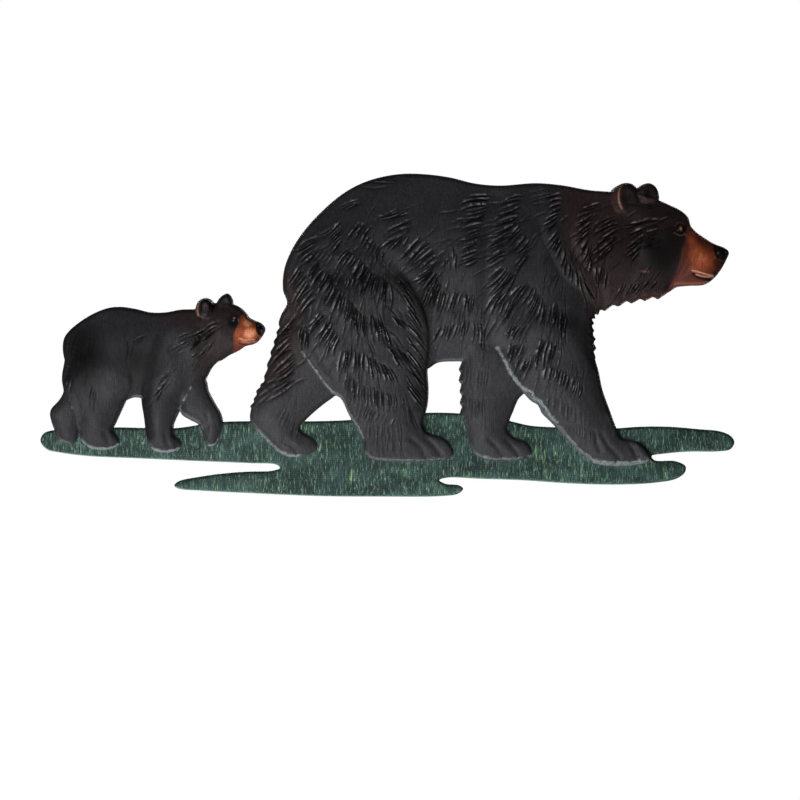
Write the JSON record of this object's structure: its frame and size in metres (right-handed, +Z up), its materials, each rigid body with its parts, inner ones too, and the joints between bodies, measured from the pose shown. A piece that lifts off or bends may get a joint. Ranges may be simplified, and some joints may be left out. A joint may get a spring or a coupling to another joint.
{
  "type": "metal bear wall sculpture",
  "caption": "Wall sculpture pressed from printed sheet steel: a black bear and her cub walk on a strip of green grass, with a keyhole bracket behind.",
  "frame": {"origin": "bearing point on the bracket's wall face, just above its nail slot, over the sheet's balance line", "axes": "+X to the right as the sculpture is seen, +Z up, and the picture faces -Y with the wall behind it at y = 0"},
  "size_m": [0.6099, 0.0314, 0.284],
  "materials": {
    "printed_steel": "satin print in charcoal black, brown and dark green over pressed sheet steel",
    "zinc_steel": "zinc plated, lightly brushed"
  },
  "bodies": {
    "root": {"bear_and_cub_panel": "printed_steel", "wall_hanger": "zinc_steel"}
  },
  "joints": []
}
